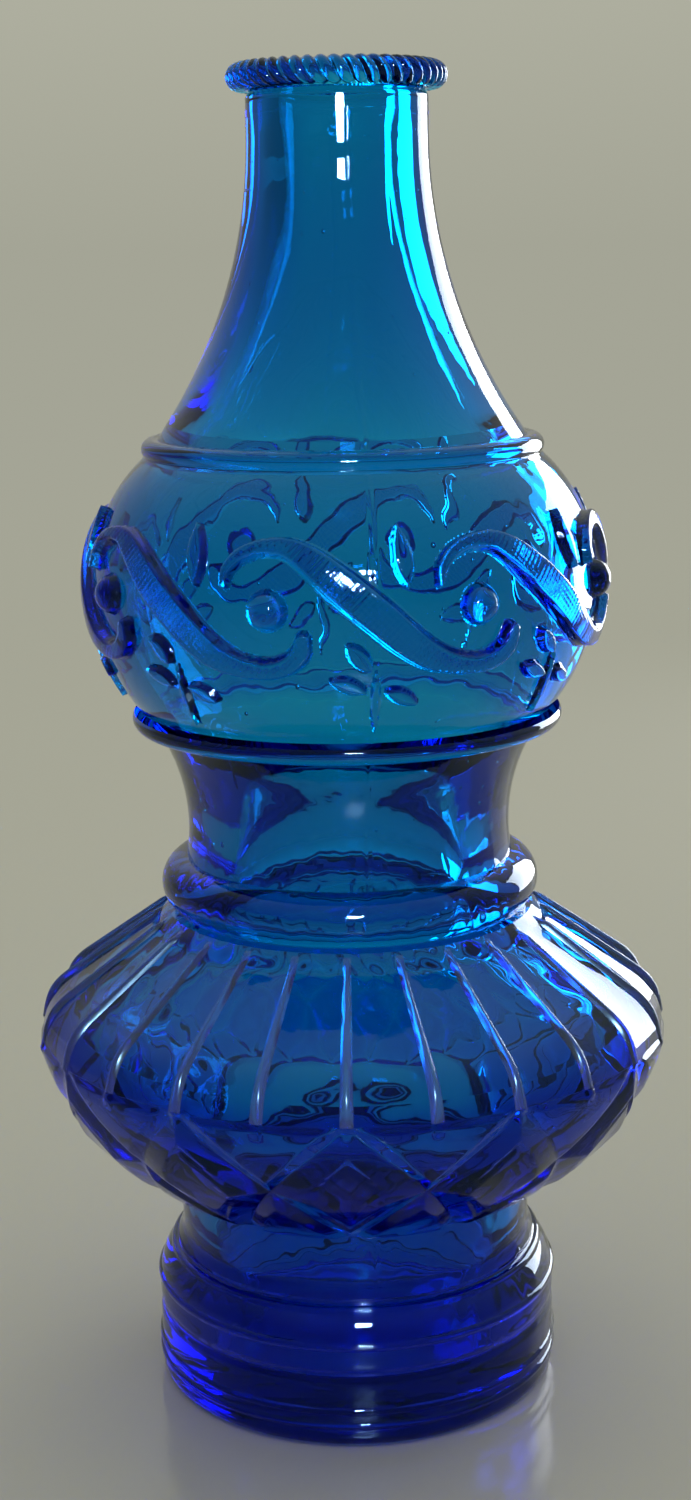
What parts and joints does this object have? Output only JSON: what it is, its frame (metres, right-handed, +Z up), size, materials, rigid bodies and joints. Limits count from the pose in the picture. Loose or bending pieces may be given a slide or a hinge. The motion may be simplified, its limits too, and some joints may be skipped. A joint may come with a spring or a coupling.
{
  "type": "glass bottle",
  "caption": "Transparent blue glass bottle shaped like an oil lamp, with a rope lip, chimney neck, scrolled bulb, narrow waist, ribbed font and drum foot.",
  "frame": {"origin": "centre of the resting face, on the axis of the bottle", "axes": "+Z up along the axis to the mouth; -Y is the side in the picture"},
  "size_m": [0.1174, 0.1174, 0.24],
  "materials": {
    "blue_glass": "clear, tinted right through, fire-polished",
    "deep_blue_glass": "clear, tinted right through, darker where the glass is thick"
  },
  "bodies": {
    "root": {"rim_rope": "deep_blue_glass", "mouth_ring": "deep_blue_glass", "neck": "blue_glass", "shoulder_ring": "blue_glass", "bulb": "blue_glass", "scroll_ribbons": "deep_blue_glass", "ball_bosses": "deep_blue_glass", "upper_leaves": "deep_blue_glass", "lower_sprigs": "deep_blue_glass", "bulb_base_ring": "blue_glass", "waist": "blue_glass", "collar_ring": "deep_blue_glass", "font_shoulder": "blue_glass", "font_ribs": "blue_glass", "font_bowl": "deep_blue_glass", "foot_neck": "blue_glass", "foot_drum": "deep_blue_glass", "foot_rings": "deep_blue_glass", "base_floor": "deep_blue_glass"}
  },
  "joints": []
}
